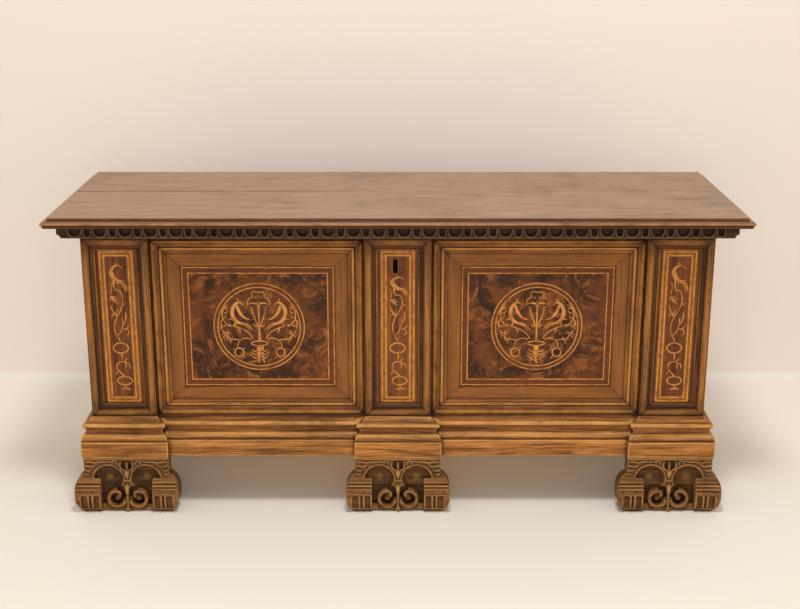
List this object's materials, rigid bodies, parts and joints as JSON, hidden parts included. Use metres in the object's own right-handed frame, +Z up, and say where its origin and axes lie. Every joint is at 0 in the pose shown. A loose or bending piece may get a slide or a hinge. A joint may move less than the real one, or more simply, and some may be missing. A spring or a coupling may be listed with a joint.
{
  "type": "cassone",
  "caption": "Long walnut chest with a hinged lid, inlaid panels and pilasters, moulded base, carved volute feet and a box lock.",
  "frame": {"origin": "under the middle of the whole chest, on the floor", "axes": "+X along the chest to the right of someone facing its front, -Y towards its front, +Z up"},
  "size_m": [1.65, 0.572, 0.746],
  "materials": {
    "plain_walnut": "waxed, worn",
    "lid_walnut": "waxed, soft sheen",
    "dark_carving": "dark stained, waxed",
    "carved_feet": "carved, dark in the hollows",
    "boxwood_banding": "inlaid light and ochre lines",
    "burr_veneer": "mottled burr, waxed",
    "frame_walnut": "moulded, waxed",
    "base_walnut": "moulded, waxed, worn",
    "wrought_iron": "forged, oiled"
  },
  "bodies": {
    "case": {"front_board": "plain_walnut", "back_board": "plain_walnut", "left_end_board": "plain_walnut", "right_end_board": "plain_walnut", "bottom_boards": "plain_walnut", "bottom_battens": "plain_walnut", "frieze_rail": "frame_walnut", "left_panel_board": "burr_veneer", "right_panel_board": "burr_veneer", "left_panel_banding": "boxwood_banding", "right_panel_banding": "boxwood_banding", "left_frame_top": "frame_walnut", "left_frame_right": "frame_walnut", "left_frame_bottom": "frame_walnut", "left_frame_left": "frame_walnut", "right_frame_top": "frame_walnut", "right_frame_right": "frame_walnut", "right_frame_bottom": "frame_walnut", "right_frame_left": "frame_walnut", "left_pilaster_board": "burr_veneer", "centre_pilaster_board": "burr_veneer", "right_pilaster_board": "burr_veneer", "left_pilaster_banding": "boxwood_banding", "centre_pilaster_banding": "boxwood_banding", "right_pilaster_banding": "boxwood_banding", "left_pilaster_frame": "frame_walnut", "centre_pilaster_frame": "frame_walnut", "right_pilaster_frame": "frame_walnut", "left_pedestal": "base_walnut", "centre_pedestal": "base_walnut", "right_pedestal": "base_walnut", "left_base_moulding": "base_walnut", "right_base_moulding": "base_walnut", "left_side_base_moulding": "base_walnut", "right_side_base_moulding": "base_walnut", "left_front_foot": "carved_feet", "centre_front_foot": "carved_feet", "right_front_foot": "carved_feet", "left_rear_foot": "plain_walnut", "right_rear_foot": "plain_walnut", "left_hinge_leaf": "wrought_iron", "right_hinge_leaf": "wrought_iron", "left_hinge_pin": "wrought_iron", "right_hinge_pin": "wrought_iron", "case_nails": "wrought_iron", "lock_plate": "wrought_iron", "lock_case": "wrought_iron", "lock_spring": "wrought_iron", "lock_key_pin": "wrought_iron"},
    "lid": {"lid_front_plank": "lid_walnut", "lid_rear_plank": "lid_walnut", "lid_battens": "plain_walnut", "front_carved_strip": "dark_carving", "left_carved_strip": "dark_carving", "right_carved_strip": "dark_carving", "left_hinge_strap": "wrought_iron", "right_hinge_strap": "wrought_iron", "lid_nails": "wrought_iron", "lid_staple": "wrought_iron"},
    "lock_bolt": {"lock_bolt": "wrought_iron"}
  },
  "joints": [
    {"name": "lid_hinge", "type": "hinge", "parent": "case", "child": "lid", "pos_m": [0, 0.28, 0.719], "axis": [-1, 0, 0], "range_deg": [0, 100]},
    {"name": "lock_bolt_slide", "type": "slide", "parent": "case", "child": "lock_bolt", "axis": [-1, 0, 0], "range_m": [0, 0.012]}
  ]
}
